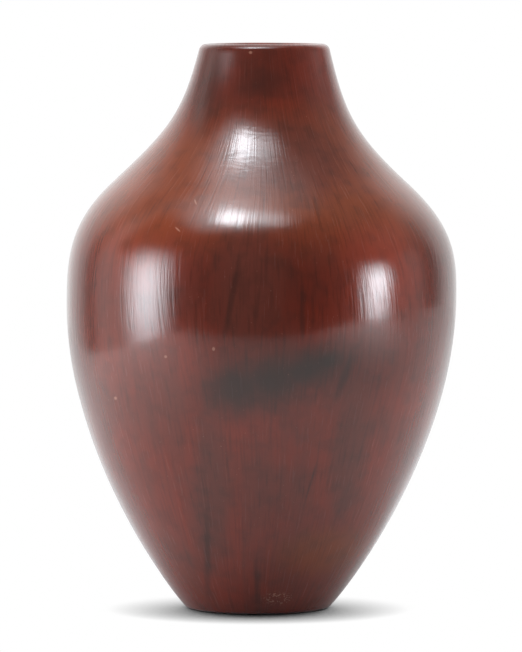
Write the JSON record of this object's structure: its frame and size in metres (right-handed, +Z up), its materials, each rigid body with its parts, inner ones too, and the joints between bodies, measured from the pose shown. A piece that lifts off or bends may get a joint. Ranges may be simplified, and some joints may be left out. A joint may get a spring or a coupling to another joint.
{
  "type": "pottery jar",
  "caption": "Hand-coiled burnished earthenware jar with a flat foot, full shoulder and narrow open neck, to stand on a table.",
  "frame": {"origin": "centre of the round foot, on the face that it stands on", "axes": "+Z up out of the mouth; -Y is the side that the picture shows, with the largest fire cloud; the rim leans slightly to +X, and the shoulder has settled to -X and +Y"},
  "size_m": [0.2016, 0.2016, 0.292],
  "materials": {
    "burnished_slip": "iron-red slip, polished with a stone, smoke-clouded in the firing"
  },
  "bodies": {
    "root": {"base_slab": "burnished_slip", "lower_wall_coil_1": "burnished_slip", "lower_wall_coil_2": "burnished_slip", "lower_wall_coil_3": "burnished_slip", "lower_wall_coil_4": "burnished_slip", "lower_wall_coil_5": "burnished_slip", "lower_wall_coil_6": "burnished_slip", "lower_wall_coil_7": "burnished_slip", "lower_wall_coil_8": "burnished_slip", "lower_wall_coil_9": "burnished_slip", "shoulder_coil_1": "burnished_slip", "shoulder_coil_2": "burnished_slip", "shoulder_coil_3": "burnished_slip", "shoulder_coil_4": "burnished_slip", "neck_coil_1": "burnished_slip", "neck_coil_2": "burnished_slip", "neck_coil_3": "burnished_slip", "neck_coil_4": "burnished_slip", "rim_coil": "burnished_slip"}
  },
  "joints": []
}
